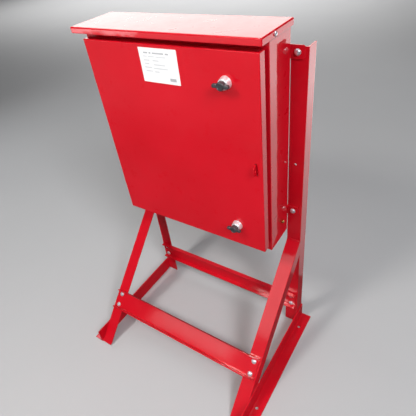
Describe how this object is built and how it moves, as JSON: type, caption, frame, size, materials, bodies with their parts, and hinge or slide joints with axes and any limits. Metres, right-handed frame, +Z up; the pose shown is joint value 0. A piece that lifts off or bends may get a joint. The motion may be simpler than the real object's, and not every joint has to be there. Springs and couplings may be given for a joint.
{
  "type": "wall enclosure on floor stand",
  "caption": "Glossy sheet-steel control cabinet with a hinged door, quarter-turn locks and a rain hood, carried on a sloped angle-iron floor stand.",
  "frame": {"origin": "on the floor, centre of the stand's footprint, midway between the base rails and midway along them", "axes": "+Z up, front of the cabinet faces -Y, +X to the right of a person facing the door"},
  "size_m": [0.808, 0.556, 1.256],
  "materials": {
    "red_paint": "gloss",
    "zinc": "bright zinc plate",
    "chrome": "polished",
    "black_plastic": "satin",
    "rubber": "matt",
    "spacer": "matt",
    "label": "satin",
    "brass": "plain",
    "galvanised": "galvanised"
  },
  "bodies": {
    "stand_and_cabinet": {"base_rail_left": "red_paint", "base_rail_right": "red_paint", "body_shell": "red_paint", "earth_nut": "brass", "earth_stud": "brass", "front_rail": "red_paint", "front_rail_bolts": "zinc", "front_rail_nuts": "zinc", "gland_plate": "red_paint", "gland_screws": "zinc", "gland_seal": "rubber", "hinge_body_lower": "red_paint", "hinge_body_upper": "red_paint", "hinge_pin_lower": "zinc", "hinge_pin_upper": "zinc", "hood_bolts": "zinc", "hood_nuts": "zinc", "hood_spacers": "spacer", "leg_left": "red_paint", "leg_right": "red_paint", "lug_bolts": "zinc", "lug_lower_left": "red_paint", "lug_lower_right": "red_paint", "lug_nuts": "zinc", "lug_upper_left": "red_paint", "lug_upper_right": "red_paint", "mounting_plate": "galvanised", "padlock_staple": "red_paint", "plate_nuts": "zinc", "plate_studs": "zinc", "rain_hood": "red_paint", "rear_rail": "red_paint", "rear_rail_bolts": "zinc", "rear_rail_nuts": "zinc", "upright_left": "red_paint", "upright_right": "red_paint"},
    "door": {"door_gasket": "rubber", "door_panel": "red_paint", "door_stiffeners": "red_paint", "hinge_door_lower": "red_paint", "hinge_door_upper": "red_paint", "lower_lock_housing": "chrome", "lower_lock_nut": "zinc", "rating_plate": "label", "upper_lock_housing": "chrome", "upper_lock_nut": "zinc"},
    "upper_lock": {"upper_lock_spindle": "zinc", "upper_lock_knob": "black_plastic", "upper_lock_cam": "zinc", "upper_cam_screw": "zinc"},
    "lower_lock": {"lower_lock_spindle": "zinc", "lower_lock_knob": "black_plastic", "lower_lock_cam": "zinc", "lower_cam_screw": "zinc"}
  },
  "joints": [
    {"name": "door_hinge", "type": "hinge", "parent": "stand_and_cabinet", "child": "door", "pos_m": [-0.2925, 0.0685, 0.8985], "axis": [0, 0, -1], "range_deg": [0, 115]},
    {"name": "upper_lock_turn", "type": "hinge", "parent": "door", "child": "upper_lock", "pos_m": [0.208, 0.048, 1.141], "axis": [0, -1, 0], "range_deg": [0, 90]},
    {"name": "lower_lock_turn", "type": "hinge", "parent": "door", "child": "lower_lock", "pos_m": [0.208, 0.048, 0.6615], "axis": [0, 1, 0], "range_deg": [0, 90]}
  ]
}
